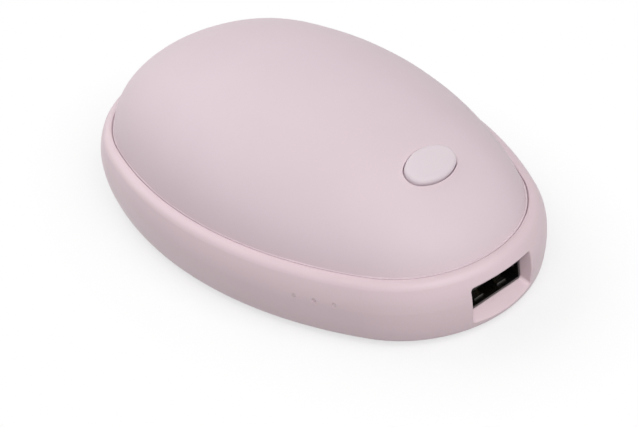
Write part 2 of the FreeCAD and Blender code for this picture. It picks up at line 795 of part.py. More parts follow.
# Dome: a free-form shell on a plain skirt, with the button's collar and the bosses inside
outside = dome("dome_outside", "0", "ledge_z")
inside = dome("dome_inside", "dome_wall", "ledge_z - rebate_depth / 4")
shell = cut("dome_shell", outside, inside)
collar = body("button_collar")
tilted(collar, "0")
ring = sketch(collar, offset="-collar_depth", turn=90)
collar_over = "2 * (button_gap + collar_wall)"
collar_end = "button_end_radius + button_gap + collar_wall"
oval(ring, "button_length + " + collar_over, "button_width + " + collar_over, collar_end, collar_end)
pad(collar, ring, "collar_depth")
bosses = [collar]
for x, y in LUGS:
    item = rod("dome_boss", "boss_radius", "crown_rise")
    place(item, x, y, "ledge_z")
    bosses.append(item)
for side in ("switch_boss_pitch / 2", "-switch_boss_pitch / 2"):
    item = rod("switch_boss", "switch_boss_radius", "switch_low")
    tilted(item, "switch_low", side)
    bosses.append(item)
doc.recompute()
boss_group = joined("MultiFuse", "dome_bosses", bosses)
boss_trim = joined("MultiCommon", "dome_bosses_trimmed", [boss_group, outside])
skirt = body("dome_skirt")
skirt_ring = sketch(skirt, offset="ledge_z")
egg(skirt_ring, "rebate_inset + seam_gap / 2")
egg(skirt_ring, "rebate_inset + dome_wall / 2")
skirt_pad = pad(skirt, skirt_ring, "rebate_depth")
fillet(skirt, skirt_pad, "seam_edge / 2", level("seam_z"))
dome_full = joined("MultiFuse", "dome_full", [shell, skirt, boss_trim])
button_hole = body("button_hole")
tilted(button_hole, "0")
hole = sketch(button_hole, offset="-2 * collar_depth", turn=90)
hole_end = "button_end_radius + button_gap"
oval(hole, "button_length + 2 * button_gap", "button_width + 2 * button_gap", hole_end, hole_end)
pad(button_hole, hole, "3 * collar_depth")
holes = [button_hole]
for x, y in LUGS:
    item = rod("boss_hole", "screw_radius + screw_fit", "boss_bite + screw_clearance")
    place(item, x, y, "ledge_z")
    holes.append(item)
for side in ("switch_boss_pitch / 2", "-switch_boss_pitch / 2"):
    item = rod("switch_boss_hole", "screw_radius + screw_fit", "screw_bite + screw_clearance")
    tilted(item, "switch_low", side)
    holes.append(item)
hole_group = joined("MultiFuse", "dome_holes", holes)
dome_cut = cut("dome_cut", dome_full, hole_group)
nodes.append(softened("upper_dome", dome_cut, "button_mouth_edge"))

# Button: an oval cap whose top follows the dome, with a flange that keeps it in
crown = dome("button_crown", "-button_rise", "ledge_z")
stem = body("button_stem")
tilted(stem, "0")
stem_oval = sketch(stem, offset="-flange_top", turn=90)
oval(stem_oval, "button_length", "button_width", "button_end_radius", "button_end_radius")
pad(stem, stem_oval, "flange_top + 2 * button_rise")
stem_top = joined("MultiCommon", "button_top", [stem, crown])
soft = softened("button_soft", stem_top, "button_edge")
flange = body("button_flange_ring")
tilted(flange, "0")
flange_oval = sketch(flange, offset="-flange_low", turn=90)
flange_long = "button_length + 2 * button_flange"
flange_wide = "button_width + 2 * button_flange"
flange_end = "button_end_radius + button_flange"
oval(flange_oval, flange_long, flange_wide, flange_end, flange_end)
pad(flange, flange_oval, "button_flange_thickness")
nodes.append(joined("MultiFuse", "power_button", [soft, flange]))

# Switch under the button, on a small board screwed to the dome
switch = body("switch_body")
tilted(switch, "switch_low")
base = sketch(switch)
rectangle(base, "0", "0", "switch_side", "switch_side")
pad(switch, base, "switch_height")
bore = sketch(switch, offset="switch_height")
circle(bore, "0", "0", "plunger_radius + lamp_fit")
pocket(switch, bore, "switch_height / 2")
nodes.append(switch)
plunger = rod("switch_plunger", "plunger_radius", "plunger_height + plunger_height / 2")
tilted(plunger, "switch_top + plunger_height / 2")
nodes.append(plunger)
switch_board = body("switch_board")
tilted(switch_board, "switch_low + board_thickness")
plate = sketch(switch_board)
rectangle(plate, "0", "0", "switch_board_width", "switch_board_length")
for side in ("switch_boss_pitch / 2", "-switch_boss_pitch / 2"):
    circle(plate, "0", side, "screw_radius + screw_clearance")
pad(switch_board, plate, "board_thickness")
nodes.append(switch_board)
pieces = []
for side in ("switch_boss_pitch / 2", "-switch_boss_pitch / 2"):
    head = rod("switch_screw_head", "screw_head_radius", "screw_head_height")
    tilted(head, "switch_low + board_thickness + screw_head_height", side)
    shank = rod("switch_screw_shank", "screw_radius", "board_thickness + screw_bite")
    tilted(shank, "switch_low + board_thickness", side)
    pieces += [head, shank]
nodes.append(joined("MultiFuse", "switch_screws", pieces))

# Base cover: a plate with a rib and a snap bead inside the band, and posts for the board
cover = body("base_cover")
floor = sketch(cover)
egg(floor, "base_inset")
plate = pad(cover, floor, "base_thickness")
fillet(cover, plate, "base_edge", level("0"))
rib = sketch(cover, offset="base_thickness")
egg(rib, "base_inset")
egg(rib, "base_inset + base_rib")
pad(cover, rib, "base_rib_height")
bead = sketch(cover, offset="foot_top + snap_gap")
egg(bead, "base_inset - snap_reach")
egg(bead, "base_inset + base_rib / 2")
pad(cover, bead, "snap_height")
posts = sketch(cover, offset="base_thickness")
for x, y in TRAY_SCREWS + FRONT_SCREWS:
    circle(posts, x, y, "post_radius")
pad(cover, posts, "board_z - base_thickness")
pilots = sketch(cover, offset="board_z")
for x, y in TRAY_SCREWS + FRONT_SCREWS:
    circle(pilots, x, y, "screw_radius + screw_fit")
pocket(cover, pilots, "screw_bite + screw_clearance")
nodes.append(cover)

# Main board with tabs toward the lamps and the inlet
board = body("main_board")
face = sketch(board, offset="board_z")
egg(face, "board_inset")
pad(board, face, "board_thickness")
lamp_tab = sketch(board, offset="board_z")
lamp_corner = "lamp_x + (%s) * lamp_cos - (%s) * lamp_sin"
lamp_side = "-lamp_y + (%s) * lamp_sin + (%s) * lamp_cos"
tab_spots = [
    ("-lamp_tab / 2", "band_wall + 2 * guide_gap"),
    ("lamp_tab / 2", "band_wall + 2 * guide_gap"),
    ("lamp_tab / 2", "2 * board_inset"),
    ("-lamp_tab / 2", "2 * board_inset"),
]
outline(lamp_tab, [(lamp_corner % spot, lamp_side % spot) for spot in tab_spots])
pad(board, lamp_tab, "board_thickness")
inlet_tab = sketch(board, offset="board_z")
rectangle(inlet_tab, "inlet_x", "inlet_y - inlet_tab_back - board_inset", "inlet_tab", "2 * board_inset")
pad(board, inlet_tab, "board_thickness")
drill = sketch(board, offset="board_top")
for x, y in TRAY_SCREWS + FRONT_SCREWS:
    circle(drill, x, y, "screw_radius + screw_clearance")
pocket(board, drill, "board_thickness")
nodes.append(board)

# USB outlet: a folded metal shell round an insulator whose tongue carries four contacts
usb = body("usb_shell")
tube = sketch(usb, "YZ_Plane", "port_x - usb_depth")
rounded(tube, "0", "usb_z", "usb_width", "usb_height", "usb_corner")
inner_wide = "usb_width - 2 * usb_sheet"
inner_tall = "usb_height - 2 * usb_sheet"
rounded(tube, "0", "usb_z", inner_wide, inner_tall, "usb_corner - usb_sheet")
pad(usb, tube, "usb_depth")
nodes.append(usb)
tongue = body("usb_tongue")
root = sketch(tongue, "YZ_Plane", "port_x - usb_depth")
root_wide = inner_wide + " - 2 * lamp_fit"
root_tall = inner_tall + " - 2 * lamp_fit"
rounded(root, "0", "usb_z", root_wide, root_tall, "usb_corner - usb_sheet")
pad(tongue, root, "tongue_root")
blade = sketch(tongue, "YZ_Plane", "port_x - usb_depth")
rectangle(blade, "0", "usb_z + tongue_thickness / 2", "tongue_width", "tongue_thickness")
pad(tongue, blade, "usb_depth - tongue_setback")
nodes.append(tongue)
contacts = body("usb_contacts")
contacts.AllowCompound = True
strips = sketch(contacts, "YZ_Plane", "port_x - usb_depth + tongue_root")
for step in (-1.5, -0.5, 0.5, 1.5):
    spot = "contact_pitch * %s" % step
    rectangle(strips, spot, "usb_z - contact_thickness / 2", "contact_width", "contact_thickness")
pad(contacts, strips, "usb_depth - tongue_root - 2 * tongue_setback")
nodes.append(contacts)

# Charging inlet: a small metal shell and its tongue, facing the far side
inlet = body("inlet_shell")
mid = "board_top + inlet_height / 2"
shroud = sketch(inlet, "XZ_Plane", "-inlet_y")


def inlet_outline(item, shrink):
    """The inlet's outline with its two lower corners cut off, moved inward."""
    left = "inlet_x - inlet_width / 2 + (%s)" % shrink
    right = "inlet_x + inlet_width / 2 - (%s)" % shrink
    floor_z = "board_top + (%s)" % shrink
    roof_z = "board_top + inlet_height - (%s)" % shrink
    outline(item, [
        (left + " + inlet_chamfer", floor_z),
        (right + " - inlet_chamfer", floor_z),
        (right, floor_z + " + inlet_chamfer"),
        (right, roof_z),
        (left, roof_z),
        (left, floor_z + " + inlet_chamfer"),
    ])


inlet_outline(shroud, "0")
inlet_outline(shroud, "inlet_sheet")
pad(inlet, shroud, "inlet_depth")
nodes.append(inlet)
inlet_core = body("inlet_tongue")
core_root = sketch(inlet_core, "XZ_Plane", "-(inlet_y - inlet_depth + inlet_depth / 5)")
inlet_outline(core_root, "inlet_sheet + lamp_fit")
pad(inlet_core, core_root, "inlet_depth / 5")
core = sketch(inlet_core, "XZ_Plane", "-(inlet_y - inlet_sheet)")
rectangle(core, "inlet_x", mid, "inlet_width / 2", "inlet_tongue")
pad(inlet_core, core, "inlet_depth - inlet_sheet")
nodes.append(inlet_core)

# Parts on the main board
coil_spot = ("coil_x", "coil_y", "board_top")
nodes.append(block("boost_coil", *coil_spot, "coil_side", "coil_side", "coil_height", "tray_wall"))
chip_spot = ("coil_x", "-coil_y", "board_top")
nodes.append(block("power_chip", *chip_spot, "chip_length", "chip_width", "chip_height"))
capacitor_spots = mirrored("capacitor_x", "capacitor_apart / 2")
nodes.append(rods("capacitors", capacitor_spots, [("capacitor_radius", "board_top", "capacitor_height")]))
lamps = body("indicator_lamps")
lamps.AllowCompound = True
lean(lamps, Vector(0, 0, 1), "lamp_turn")
place(lamps, "lamp_x", "-lamp_y", "0")
lamp_plan = sketch(lamps, offset="board_top")
for along in ("-lamp_pitch", "0", "lamp_pitch"):
    rectangle(lamp_plan, along, "lamp_depth", "lamp_side", "lamp_side")
pad(lamps, lamp_plan, "lamp_height")
nodes.append(lamps)
guide = body("light_guide")
lean(guide, Vector(0, 0, 1), "lamp_turn")
place(guide, "lamp_x", "-lamp_y", "0")
bar = sketch(guide, offset="guide_low")
rectangle(bar, "0", "lamp_depth", "guide_length", "guide_depth")
pad(guide, bar, "lamp_z + guide_over - guide_low")
pips = sketch(guide, "XZ_Plane", "-lamp_depth")
for along in ("-lamp_pitch", "0", "lamp_pitch"):
    circle(pips, along, "lamp_z", "lamp_radius")
pad(guide, pips, "lamp_depth - guide_gap / 2")
nodes.append(guide)

# Cells, tray and the guard board at the cells' front
tray = body("cell_tray")
tray_over = "2 * (cell_gap + tray_wall)"
tray_long = "cell_length + " + tray_over
tray_wide = "cell_width + " + tray_over
tray_plan = sketch(tray, offset="tray_z")
rounded(tray_plan, "cell_x", "0", tray_long, tray_wide, "cell_edge + tray_wall")
pad(tray, tray_plan, "tray_height")
well = sketch(tray, offset="tray_z + tray_height")
rounded(well, "cell_x", "0", "cell_length + 2 * cell_gap", "cell_width + 2 * cell_gap", "cell_edge")
pocket(tray, well, "tray_height - tray_floor")
ears = sketch(tray, offset="board_top")
ear_inner = "cell_width / 2 + 2 * cell_gap"
ear_outer = "tray_screw_y + tray_ear_reach"
ear_middle = "(%s + %s) / 2" % (ear_inner, ear_outer)
for x in ("tray_screw_front", "tray_screw_back"):
    for y in (ear_middle, "-" + ear_middle):
        rectangle(ears, x, y, "tray_ear", "%s - (%s)" % (ear_outer, ear_inner))
pad(tray, ears, "tray_rise + tray_ear_thickness")
ear_holes = sketch(tray, offset="tray_z + tray_ear_thickness")
for x, y in TRAY_SCREWS:
    circle(ear_holes, x, y, "screw_radius + screw_clearance")
pocket(tray, ear_holes, "tray_rise + tray_ear_thickness")
nodes.append(tray)
for node, bottom in (("lower_cell", "cell_z"), ("upper_cell", "cell_z + cell_height + tape_thickness")):
    cell = body(node)
    plan = sketch(cell, offset=bottom)
    rounded(plan, "cell_x", "0", "cell_length", "cell_width", "cell_edge")
    pad(cell, plan, "cell_height")
    nodes.append(cell)
tape_long = "cell_length - 2 * tape_margin"
tape_wide = "cell_width - 2 * tape_margin"
tape_spot = ("cell_x", "0", "cell_z + cell_height")
nodes.append(block("cell_tape", *tape_spot, tape_long, tape_wide, "tape_thickness"))
upper_middle = "cell_z + cell_height + tape_thickness + cell_height / 2"
guard_low = upper_middle + " - guard_height / 2"
guard_spot = ("guard_x + guard_thickness / 2", "0", guard_low)
nodes.append(block("guard_board", *guard_spot, "guard_thickness", "guard_length", "guard_height"))
tabs = body("cell_tabs")
tabs.AllowCompound = True
tab_plan = sketch(tabs, offset=upper_middle + " - tab_thickness / 2")
for y in ("guard_length / 4", "-guard_length / 4"):
    rectangle(tab_plan, "cell_front + tab_length / 2", y, "tab_length", "tab_width")
pad(tabs, tab_plan, "tab_thickness")
nodes.append(tabs)

# Screws
tray_head = "tray_z + tray_ear_thickness"
tray_shank = tray_head + " - board_z + screw_bite"
nodes.append(rods("tray_screws", TRAY_SCREWS, [
    ("screw_head_radius", tray_head, "screw_head_height"),
    ("screw_radius", "board_z - screw_bite", tray_shank),
]))
nodes.append(rods("board_screws", FRONT_SCREWS, [
    ("screw_head_radius", "board_top", "screw_head_height"),
    ("screw_radius", "board_z - screw_bite", "board_thickness + screw_bite"),
]))
nodes.append(rods("dome_screws", LUGS, [
    ("screw_head_radius", "lug_z - screw_head_height", "screw_head_height"),
    ("screw_radius", "lug_z", "lug_thickness + boss_bite"),
]))

# Warming layers: a foil and a film under the dome, a film on the base cover
film_area = body("film_area")
place(film_area, "-film_back", "0", "0")
area = sketch(film_area)
oval(area, "film_length", "film_width", "film_end_radius", "film_end_radius")
pad(film_area, area, "2 * top_z")
foil_top = dome("foil_top", "foil_depth", "ledge_z")
foil_low = dome("foil_low", "foil_depth + foil_thickness", "ledge_z - rebate_depth / 4")
film_top = dome("film_top", "film_depth", "ledge_z")
film_under = dome("film_under", "film_low", "ledge_z - rebate_depth / 4")
foil_full = cut("foil_full", foil_top, foil_low)
nodes.append(joined("MultiCommon", "spreader_foil", [foil_full, film_area]))
film_full = cut("film_full", film_top, film_under)
nodes.append(joined("MultiCommon", "upper_heater", [film_full, film_area]))
lower_film = body("lower_heater")
place(lower_film, "-film_back", "0", "0")
flat = sketch(lower_film, offset="base_thickness")
oval(flat, "floor_film_length", "floor_film_width", "film_end_radius", "film_end_radius")
pad(lower_film, flat, "film_thickness")
nodes.append(lower_film)

# Leads, each straight down to the main board
film_tool = dome("lead_limit", "film_low", "ledge_z - rebate_depth / 4")
drop = doc.addObject("Part::Box", "lead_space")
bind(drop, "Length", "length")
bind(drop, "Width", "width")
bind(drop, "Height", "ledge_z - board_top")
place(drop, "-half_length", "-half_width", "board_top")
doc.recompute()
lead_room = joined("MultiFuse", "lead_room", [film_tool, drop])
full_lead = [("lead_radius", "board_top", "top_z")]
upright_leads = rods("heater_rods", mirrored("lead_x", "lead_pitch / 2"), full_lead)
nodes.append(joined("MultiCommon", "upper_heater_leads", [upright_leads, lead_room]))
sensor_y = "2 * lead_pitch"
sensor_legs = [("lead_x", sensor_y), ("lead_x", sensor_y + " + 2 * bead_radius")]
sensor_rods = rods("sensor_rods", sensor_legs, full_lead)
bead_spot = ("lead_x", sensor_y + " + bead_radius")
bead = ("2 * bead_radius", "sensor_top - 3 * bead_radius", "crown_rise")
sensor_bead = rods("sensor_bead", [bead_spot], [bead])
sensor_full = joined("MultiFuse", "sensor_full", [sensor_rods, sensor_bead])
nodes.append(joined("MultiCommon", "heat_sensor", [sensor_full, lead_room]))
floor_lead_x = "-film_back - floor_film_length / 2 + 3 * lead_radius"
floor_film_top = "base_thickness + film_thickness"
nodes.append(rods("lower_heater_leads", mirrored(floor_lead_x, "lead_pitch / 2"),
                  [("lead_radius", floor_film_top, "board_z - base_thickness - film_thickness")]))
cell_lead_x = "guard_x + guard_thickness + lead_radius"
nodes.append(rods("cell_leads", mirrored(cell_lead_x, "2 * lead_pitch"),
                  [("lead_radius", "board_top", upper_middle + " - board_top")]))
switch_lead_x = "button_x - (switch_low + board_thickness) * lean_sin"
switch_lead_top = "button_z - (switch_low + board_thickness) * lean_cos - lead_radius * lean_sin / lean_cos"
nodes.append(rods("switch_leads", mirrored(switch_lead_x, "lead_pitch / 2"),
                  [("lead_radius", "board_top", switch_lead_top + " - board_top")]))

# Every object has to be sound before anything is written
doc.recompute()
for item in doc.Objects:
    if "Invalid" in item.State or "Error" in item.State:
        raise RuntimeError("%s: %s" % (item.Label, item.State))
os.makedirs("parts", exist_ok=True)
for item in nodes:
    shape = item.Shape
    if shape.isNull() or not shape.isValid() or not shape.Solids:
        raise RuntimeError(item.Label + ": no sound solid")
    shape.exportStep("parts/%s.step" % item.Label)
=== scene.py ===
"""Looks of a pebble-shaped hand warmer: finishes, studio light and the camera of the picture."""

import logging
import math
from dataclasses import dataclass
from enum import Enum
from typing import ClassVar

import bmesh
import bpy
from mathutils import Matrix, Vector


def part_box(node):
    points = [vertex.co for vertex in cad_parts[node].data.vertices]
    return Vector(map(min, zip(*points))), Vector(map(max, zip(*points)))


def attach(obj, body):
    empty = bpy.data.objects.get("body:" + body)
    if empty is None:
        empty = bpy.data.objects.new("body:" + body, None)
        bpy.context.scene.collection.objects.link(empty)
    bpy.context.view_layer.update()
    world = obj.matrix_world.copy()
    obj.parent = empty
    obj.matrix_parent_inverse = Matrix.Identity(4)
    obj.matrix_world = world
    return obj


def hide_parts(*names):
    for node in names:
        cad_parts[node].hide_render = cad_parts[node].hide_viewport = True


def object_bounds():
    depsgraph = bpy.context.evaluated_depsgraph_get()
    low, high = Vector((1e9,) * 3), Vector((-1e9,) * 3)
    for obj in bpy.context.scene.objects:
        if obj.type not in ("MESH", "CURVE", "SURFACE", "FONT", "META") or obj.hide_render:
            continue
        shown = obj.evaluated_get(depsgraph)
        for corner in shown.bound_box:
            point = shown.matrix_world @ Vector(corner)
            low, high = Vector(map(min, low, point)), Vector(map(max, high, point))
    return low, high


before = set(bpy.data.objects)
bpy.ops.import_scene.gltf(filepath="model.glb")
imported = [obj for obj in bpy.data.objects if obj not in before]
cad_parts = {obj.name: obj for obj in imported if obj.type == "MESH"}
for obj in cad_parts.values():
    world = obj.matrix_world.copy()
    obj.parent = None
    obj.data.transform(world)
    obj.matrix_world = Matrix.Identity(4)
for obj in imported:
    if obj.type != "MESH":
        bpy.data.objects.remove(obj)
CAD_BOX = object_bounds()
PICTURE = (638, 427)
MM = 0.001
# The wave texture repeats after this length where its scale is 1
WAVE = math.pi / 10.0
LOG = logging.getLogger("hand_warmer")

Colour = tuple[float, float, float]
Socket = bpy.types.NodeSocket


class Body(Enum):
    """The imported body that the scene's own pieces ride on."""

    HOUSING = "housing"


class Slot(Enum):
    """Slots of the record, passed along with new pieces but not read."""

    SHEET = "plated_sheet"
    CONTACT = "gilt_contact"


class Arithmetic(Enum):
    """What is done with two values."""

    LARGER = "MAXIMUM"
    PRODUCT = "MULTIPLY"
    OVER = "GREATER_THAN"


class Axis(Enum):
    """A way along the object, with the stretches that draw a grain out that way."""

    NONE = (1.0, 1.0, 1.0)
    X = (0.06, 1.0, 1.0)
    Y = (1.0, 0.06, 1.0)
    Z = (1.0, 1.0, 0.06)


class Network:
    """The nodes of a material or of the surroundings while they are put together."""

    def __init__(self, owner: bpy.types.Material | bpy.types.World) -> None:
        """Starts with no nodes.

        Args:
            owner: what the nodes belong to.
        """
        owner.use_nodes = True
        self.tree = owner.node_tree
        self.tree.nodes.clear()

    def add(self, kind: str) -> bpy.types.Node:
        """A new node of a kind."""
        return self.tree.nodes.new(kind)

    def link(self, source: Socket, target: Socket) -> None:
        """Joins two sockets."""
        self.tree.links.new(source, target)

    def reckon(self, kind: Arithmetic, first: Socket, second: Socket | float) -> Socket:
        """Two values brought together.

        Args:
            kind: what is done with them.
            first: a value socket.
            second: another value socket, or a number.

        Returns:
            A value socket.
        """
        node = self.add("ShaderNodeMath")
        node.operation = kind.value
        self.link(first, node.inputs[0])
        if isinstance(second, float):
            node.inputs[1].default_value = second
        else:
            self.link(second, node.inputs[1])
        return node.outputs["Value"]

    def seen(self) -> Socket:
        """1 for what the camera sees, also in gloss and through clear plastic.

        Returns:
            A value socket.
        """
        rays = self.add("ShaderNodeLightPath").outputs
        gloss = self.reckon(Arithmetic.LARGER, rays["Is Camera Ray"], rays["Is Glossy Ray"])
        return self.reckon(Arithmetic.LARGER, gloss, rays["Is Transmission Ray"])

    def spread(
        self, value: Socket, low: float, high: float, span: tuple[float, float] = (0.0, 1.0)
    ) -> Socket:
        """A value taken from one range to another.

        Args:
            value: the value socket.
            low: what the range's start becomes.
            high: what the range's end becomes.
            span: start and end of the range.

        Returns:
            A value socket.
        """
        node = self.add("ShaderNodeMapRange")
        node.inputs["From Min"].default_value = span[0]
        node.inputs["From Max"].default_value = span[1]
        node.inputs["To Min"].default_value = low
        node.inputs["To Max"].default_value = high
        self.link(value, node.inputs["Value"])
        return node.outputs["Result"]


class Recipe(Network):
    """A node material while it is put together."""

    def __init__(self, name: str) -> None:
        """Starts a material with its main shader.

        Args:
            name: name of the material.
        """
        self.material = bpy.data.materials.new(name)
        super().__init__(self.material)
        self.shader = self.add("ShaderNodeBsdfPrincipled")
        self.output = self.add("ShaderNodeOutputMaterial")
        self.link(self.shader.outputs["BSDF"], self.output.inputs["Surface"])
        self.place = self.add("ShaderNodeTexCoord").outputs["Object"]

    def fix(self, **values: float) -> None:
        """Sets constants on the main shader's own sockets.

        Args:
            values: socket names with _ for a space, and their values.
        """
        for name, value in values.items():
            self.shader.inputs[name.replace("_", " ")].default_value = value

    def stretched(self, axis: Axis) -> Socket:
        """Places of the surface, drawn out along a grain.

        Args:
            axis: the way that the grain runs.

        Returns:
            A vector socket.
        """
        mapping = self.add("ShaderNodeMapping")
        mapping.inputs["Scale"].default_value = axis.value
        self.link(self.place, mapping.inputs["Vector"])
        return mapping.outputs["Vector"]

    def noise(self, size: float, layers: float, place: Socket | None = None) -> Socket:
        """A soft random pattern.

        Args:
            size: width of its spots in metres.
            layers: how many finer layers it has.
            place: where it is looked up, the surface's own place if left out.

        Returns:
            A value socket from 0 to 1.
        """
        node = self.add("ShaderNodeTexNoise")
        node.inputs["Scale"].default_value = 1.0 / size
        node.inputs["Detail"].default_value = layers
        self.link(place or self.place, node.inputs["Vector"])
        return node.outputs["Fac"]

    def ramp(self, value: Socket, first: tuple[float, Colour], last: tuple[float, Colour]) -> Socket:
        """A run from one colour to another along a value.

        Args:
            value: the value socket.
            first: where the run starts, from 0 to 1, and its colour there.
            last: where it ends, and its colour there.

        Returns:
            A colour socket.
        """
        node = self.add("ShaderNodeValToRGB")
        for mark, (spot, colour) in zip(node.color_ramp.elements, (first, last)):
            mark.position = spot
            mark.color = (*colour, 1.0)
        self.link(value, node.inputs["Fac"])
        return node.outputs["Color"]

    def past(self, axis: Axis, edge: float) -> Socket:
        """1 where the surface lies past a place along an axis, 0 elsewhere.

        Args:
            axis: the axis.
            edge: the place along it, in metres.

        Returns:
            A value socket.
        """
        node = self.add("ShaderNodeSeparateXYZ")
        self.link(self.place, node.inputs["Vector"])
        return self.reckon(Arithmetic.OVER, node.outputs[axis.name], edge)

    def bands(self, size: float, axis: Axis) -> Socket:
        """Soft parallel bands.

        Args:
            size: from one band to the next, in metres.
            axis: the way from one band to the next.

        Returns:
            A value socket from 0 to 1.
        """
        node = self.add("ShaderNodeTexWave")
        node.wave_type = "BANDS"
        node.bands_direction = axis.name
        node.inputs["Scale"].default_value = WAVE / size
        self.link(self.place, node.inputs["Vector"])
        return node.outputs["Fac"]

    def cells(self, size: float) -> bpy.types.Node:
        """A pattern of cells.

        Args:
            size: from one cell to the next, in metres.

        Returns:
            The node, which gives the distance from each cell's middle.
        """
        node = self.add("ShaderNodeTexVoronoi")
        node.inputs["Scale"].default_value = 1.0 / size
        self.link(self.place, node.inputs["Vector"])
        return node

    def relief(self, height: Socket, depth: float) -> None:
        """Raises the surface by a pattern.

        Args:
            height: the value socket.
            depth: how far 1 stands over 0, in metres.
        """
        node = self.add("ShaderNodeBump")
        node.inputs["Distance"].default_value = depth
        self.link(height, node.inputs["Height"])
        self.link(node.outputs["Normal"], self.shader.inputs["Normal"])

    def paint(self, colour: Socket) -> None:
        """Takes a colour socket as the surface's colour."""
        self.link(colour, self.shader.inputs["Base Color"])

    def gloss(self, roughness: Socket) -> None:
        """Takes a value socket as the surface's roughness."""
        self.link(roughness, self.shader.inputs["Roughness"])


@dataclass(frozen=True)
class Finish:
    """A finish, which becomes one node material.

    Attributes:
        name: name of the finish.
        pale: its lighter colour.
        deep: its darker colour.
        low: up to where along its pattern the deep colour reaches.
        high: from where along its pattern the pale colour starts.
        smooth: its roughness where the grain is 0.
        rough: its roughness where the grain is 1.
        grain: width of the grain's spots.
        layers: how many finer layers the grain has.
        depth: how far the relief stands up.
    """

    made: ClassVar[dict["Finish", bpy.types.Material]] = {}
    name: str
    pale: Colour
    deep: Colour
    low: float = 0.3
    high: float = 0.7
    smooth: float = 0.3
    rough: float = 0.4
    grain: float = 0.2 * MM
    layers: float = 2.0
    depth: float = 0.005 * MM

    def mix(self, recipe: Recipe) -> None:
        """Fills a recipe. Each kind of finish has its own way."""
        raise NotImplementedError

    def tint(self, recipe: Recipe, pattern: Socket) -> None:
        """Paints the surface from deep to pale along a pattern."""
        recipe.paint(recipe.ramp(pattern, (self.low, self.deep), (self.high, self.pale)))

    def polish(self, recipe: Recipe, pattern: Socket) -> None:
        """Takes the roughness from a pattern."""
        recipe.gloss(recipe.spread(pattern, self.smooth, self.rough))

    def material(self) -> bpy.types.Material:
        """The finish's material, made the first time that it is asked for.

        Returns:
            The material.
        """
        if self not in Finish.made:
            recipe = Recipe(self.name + "_finish")
            self.mix(recipe)
            Finish.made[self] = recipe.material
        return Finish.made[self]


@dataclass(frozen=True)
class Moulded(Finish):
    """Moulded plastic: a fine spark-eroded grain, faint flow clouds and a soft gloss.

    Attributes:
        cloud: width of the flow clouds.
        sheen: share of a soft sheen at glancing angles.
        nap: roughness of that sheen.
        shine: strength of the reflection.
        bend: index of refraction.
    """

    smooth: float = 0.48
    rough: float = 0.6
    grain: float = 0.3 * MM
    layers: float = 3.0
    depth: float = 0.012 * MM
    cloud: float = 18 * MM
    sheen: float = 0.0
    nap: float = 0.5
    shine: float = 0.5
    bend: float = 1.46

    def mix(self, recipe: Recipe) -> None:
        """Clouds for the colour, grain for the gloss and the relief.

        Args:
            recipe: the material to fill.
        """
        grain = recipe.noise(self.grain, self.layers)
        self.tint(recipe, recipe.noise(self.cloud, self.layers))
        self.polish(recipe, grain)
        recipe.relief(grain, self.depth)
        recipe.fix(IOR=self.bend, Specular_IOR_Level=self.shine)
        recipe.fix(Sheen_Weight=self.sheen, Sheen_Roughness=self.nap)


@dataclass(frozen=True)
class Plated(Finish):
    """Bare or plated metal with a drawn or brushed grain.

    Attributes:
        way: the way that the grain runs.
    """

    low: float = 0.25
    high: float = 0.75
    smooth: float = 0.2
    rough: float = 0.4
    grain: float = 0.12 * MM
    layers: float = 4.0
    depth: float = 0.004 * MM
    way: Axis = Axis.NONE

    def mix(self, recipe: Recipe) -> None:
        """Grain for the colour, the gloss and the relief.

        Args:
            recipe: the material to fill.
        """
        grain = recipe.noise(self.grain, self.layers, recipe.stretched(self.way))
        self.tint(recipe, grain)
        self.polish(recipe, grain)
        recipe.relief(grain, self.depth)
        recipe.fix(Metallic=1.0)


@dataclass(frozen=True)
class Crinkled(Finish):
    """Soft pouch foil, dented in shallow creases.

    Attributes:
        crease: width of the creases.
        metal: share of metal in the look.
    """

    smooth: float = 0.28
    rough: float = 0.42
    depth: float = 0.12 * MM
    crease: float = 3.5 * MM
    metal: float = 0.85

    def mix(self, recipe: Recipe) -> None:
        """Creases for the colour and the relief, a fine grain for the gloss.

        Args:
            recipe: the material to fill.
        """
        creases = recipe.noise(self.crease, self.layers)
        self.tint(recipe, creases)
        self.polish(recipe, recipe.noise(self.grain, self.layers))
        recipe.relief(creases, self.depth)
        recipe.fix(Metallic=self.metal)


@dataclass(frozen=True)
class Lacquered(Finish):
    """Lacquered laminate: copper tracks under a tinted mask, with tinned pads.

    Attributes:
        cell: from one track to the next.
        apart: from one pad to the next.
        pad: how much of that a pad takes.
        tin: colour of the pads.
    """

    low: float = 0.06
    high: float = 0.09
    smooth: float = 0.25
    rough: float = 0.38
    grain: float = 0.35 * MM
    layers: float = 1.0
    depth: float = 0.01 * MM
    cell: float = 4.0 * MM
    apart: float = 3.2 * MM
    pad: float = 0.16
    tin: Colour = (0.62, 0.61, 0.58)

    def mix(self, recipe: Recipe) -> None:
        """Cells for the tracks, dots for the pads, a weave for the gloss and the relief.

        Args:
            recipe: the material to fill.
        """
        cells = recipe.cells(self.cell)
        cells.distance = "MANHATTAN"
        cells.feature = "DISTANCE_TO_EDGE"
        pads = recipe.cells(self.apart)
        tracks = recipe.ramp(cells.outputs["Distance"], (self.low, self.pale), (self.high, self.deep))
        around = recipe.reckon(Arithmetic.OVER, pads.outputs["Distance"], self.pad)
        blend = recipe.add("ShaderNodeMix")
        blend.data_type = "RGBA"
        blend.inputs["A"].default_value = (*self.tin, 1.0)
        recipe.link(around, blend.inputs["Factor"])
        recipe.link(tracks, blend.inputs["B"])
        recipe.paint(blend.outputs["Result"])
        weave = recipe.noise(self.grain, self.layers)
        self.polish(recipe, weave)
        recipe.relief(weave, self.depth)


